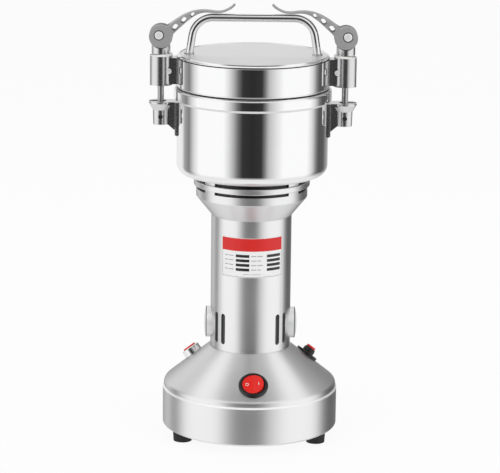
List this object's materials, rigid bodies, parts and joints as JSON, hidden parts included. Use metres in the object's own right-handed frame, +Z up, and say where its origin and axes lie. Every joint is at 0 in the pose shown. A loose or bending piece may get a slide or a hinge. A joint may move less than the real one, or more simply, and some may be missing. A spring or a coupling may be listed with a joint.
{
  "type": "electric grain mill",
  "caption": "Upright electric grain mill: a polished grinding bowl with a clamped lid on a slim motor column that flares into a round base with a rocker switch.",
  "frame": {"origin": "on the floor under the axis of the motor column, at the level of the rubber feet", "axes": "+Z up along the column, -Y towards the rocker switch at the front, +X towards the overload button"},
  "size_m": [0.2188, 0.1876, 0.4652],
  "materials": {
    "polished_steel": "polished",
    "satin_steel": "satin",
    "clamp_steel": "semi-polished",
    "bright_steel": "polished",
    "cast_metal": "satin",
    "pad_white": "satin",
    "black_plastic": "semi-gloss",
    "red_plastic": "gloss",
    "black_rubber": "matte",
    "gasket_silicone": "matte",
    "label_film": "gloss film",
    "inner_steel": "machined",
    "cast_aluminium": "as cast",
    "core_iron": "laminated",
    "winding_copper": "enamelled",
    "brush_carbon": "sintered"
  },
  "bodies": {
    "base": {"grinding_bowl": "polished_steel", "base_shell": "satin_steel", "motor_column": "satin_steel", "vent_collar": "satin_steel", "clamp_bracket_left": "clamp_steel", "clamp_bracket_right": "clamp_steel", "clamp_pivot_pins": "bright_steel", "push_button_bezel": "bright_steel", "brush_cap_left": "bright_steel", "brush_cap_right": "bright_steel", "switch_bezel": "black_plastic", "overload_body": "black_plastic", "overload_nut": "black_plastic", "cord_gland": "black_plastic", "brush_holders": "black_plastic", "rubber_feet": "black_rubber", "shaft_seal": "black_rubber", "label_plate": "label_film", "base_plate": "inner_steel", "base_plate_screws": "inner_steel", "foot_screws": "inner_steel", "bowl_screws": "inner_steel", "bowl_mount_ring": "inner_steel", "upper_bearing": "inner_steel", "lower_bearing": "inner_steel", "brush_springs": "inner_steel", "upper_bracket": "cast_aluminium", "lower_bracket": "cast_aluminium", "stator_core": "core_iron", "stator_windings": "winding_copper", "carbon_brushes": "brush_carbon"},
    "rotor": {"motor_shaft": "inner_steel", "rotor_core": "core_iron", "commutator": "winding_copper", "cooling_fan": "cast_aluminium", "blade_spacers": "inner_steel", "lower_blade": "inner_steel", "upper_blade": "inner_steel", "blade_nut": "inner_steel"},
    "lid": {"lid_shell": "polished_steel", "lid_inner_plate": "inner_steel", "lid_gasket": "gasket_silicone", "lid_handle": "bright_steel", "lid_lug_left": "clamp_steel", "lid_lug_right": "clamp_steel", "lug_rivets": "bright_steel", "clamp_pad_left": "pad_white", "clamp_pad_right": "pad_white"},
    "clamp_left": {"clamp_bolt_left": "bright_steel", "clamp_saddle_left": "clamp_steel"},
    "lever_left": {"cam_lever_left": "cast_metal", "lever_pin_left": "bright_steel"},
    "clamp_right": {"clamp_bolt_right": "bright_steel", "clamp_saddle_right": "clamp_steel"},
    "lever_right": {"cam_lever_right": "cast_metal", "lever_pin_right": "bright_steel"},
    "rocker": {"rocker": "red_plastic"},
    "push_button": {"push_button": "red_plastic"},
    "reset_button": {"reset_button": "red_plastic"}
  },
  "joints": [
    {"name": "rotor_spin", "type": "hinge", "parent": "base", "child": "rotor", "pos_m": [0, 0, 0.2], "axis": [0, 0, 1], "continuous": true},
    {"name": "lid_lift", "type": "slide", "parent": "base", "child": "lid", "axis": [0, 0, 1], "range_m": [0, 0.012]},
    {"name": "clamp_swing_left", "type": "hinge", "parent": "base", "child": "clamp_left", "pos_m": [-0.097, 0, 0.3451], "axis": [0, -1, 0], "range_deg": [0, 140]},
    {"name": "cam_lever_open_left", "type": "hinge", "parent": "clamp_left", "child": "lever_left", "pos_m": [-0.0989, 0, 0.4315], "axis": [0, -1, 0], "range_deg": [0, 150]},
    {"name": "clamp_swing_right", "type": "hinge", "parent": "base", "child": "clamp_right", "pos_m": [0.097, 0, 0.3451], "axis": [0, 1, 0], "range_deg": [0, 140]},
    {"name": "cam_lever_open_right", "type": "hinge", "parent": "clamp_right", "child": "lever_right", "pos_m": [0.0989, 0, 0.4315], "axis": [0, 1, 0], "range_deg": [0, 150]},
    {"name": "rocker_tilt", "type": "hinge", "parent": "base", "child": "rocker", "pos_m": [0.00392, -0.0749, 0.07105], "axis": [-0.0406, 0.7739, 0.632], "range_deg": [0, 16]},
    {"name": "push_button_press", "type": "slide", "parent": "base", "child": "push_button", "axis": [0.5912, -0.2234, -0.7749], "range_m": [0, 0.0016], "stiffness_N_per_m": 400},
    {"name": "reset_button_press", "type": "slide", "parent": "base", "child": "reset_button", "axis": [-0.5912, -0.2234, -0.7749], "range_m": [0, 0.0015], "stiffness_N_per_m": 400}
  ],
  "couplings": [
    {"joint": "clamp_swing_left", "follows": "lid_lift", "rad_per_m": 203.62},
    {"joint": "clamp_swing_right", "follows": "lid_lift", "rad_per_m": 203.62}
  ]
}
